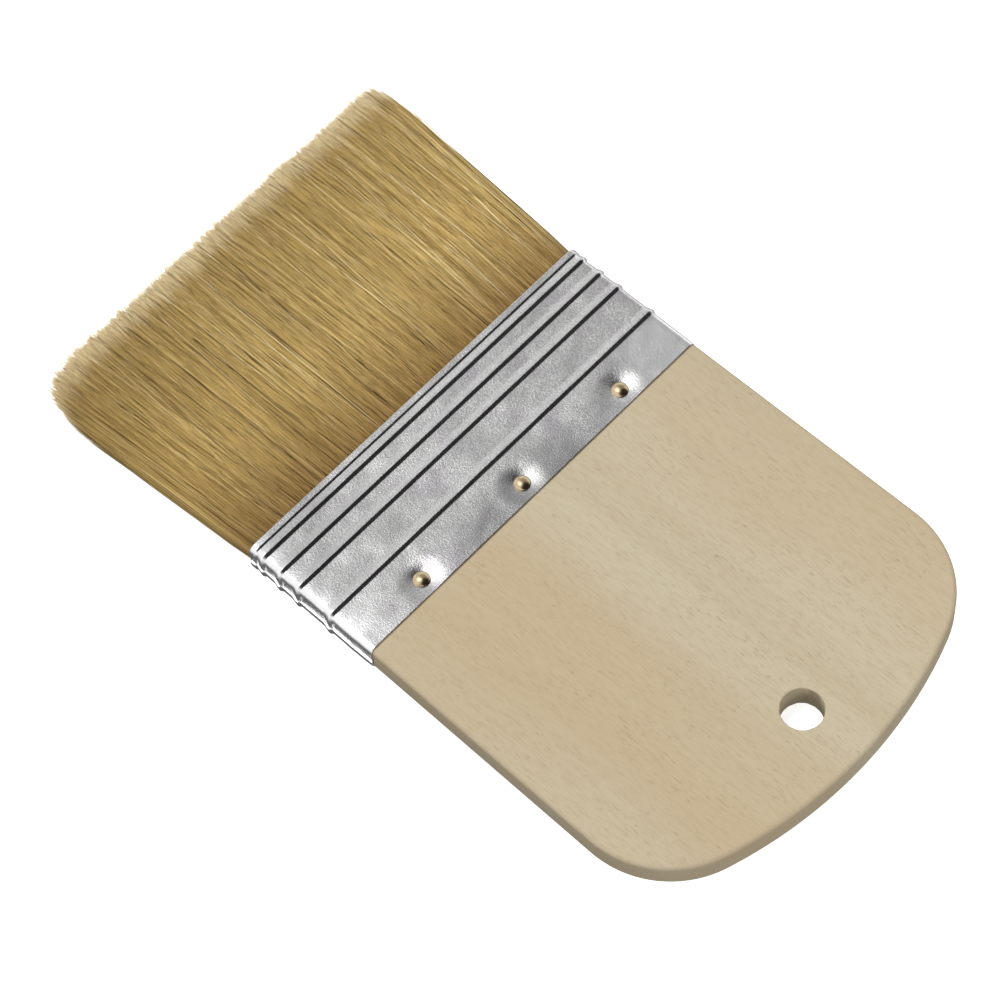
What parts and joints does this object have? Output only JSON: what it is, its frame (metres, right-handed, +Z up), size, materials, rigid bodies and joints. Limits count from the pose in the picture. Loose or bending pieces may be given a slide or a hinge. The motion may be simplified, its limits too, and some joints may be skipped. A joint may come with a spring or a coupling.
{
  "type": "paint brush",
  "caption": "Flat wide brush with a short wooden plate handle, a ribbed tinplate ferrule and a springy hog bristle tuft that flexes, for glazing, varnish and washes.",
  "frame": {"origin": "under the middle of the brush's length and width, level with the lowest ferrule rib it lies on", "axes": "+X along the brush towards the hanging hole (bristle tips at -X), +Y across the width, +Z up out of the front face"},
  "size_m": [0.1516, 0.084, 0.0071],
  "materials": {
    "raw_wood": "matte",
    "tinplate": "satin",
    "nail_metal": "polished",
    "setting_resin": "gloss",
    "bristle": "satin"
  },
  "bodies": {
    "stock": {"handle": "raw_wood", "ferrule": "tinplate", "nail_front_1": "nail_metal", "nail_front_2": "nail_metal", "nail_front_3": "nail_metal", "nail_back_1": "nail_metal", "nail_back_2": "nail_metal", "nail_back_3": "nail_metal", "resin_setting": "setting_resin", "bristle_butts_front": "bristle", "bristle_butts_back": "bristle"},
    "tuft": {"bristles_front": "bristle", "bristles_back": "bristle"}
  },
  "joints": [
    {"name": "bristle_flex", "type": "hinge", "parent": "stock", "child": "tuft", "pos_m": [-0.02595, 0, 0.00355], "axis": [0, 1, 0], "range_deg": [-35, 35], "stiffness_Nm_per_rad": 0.25}
  ]
}
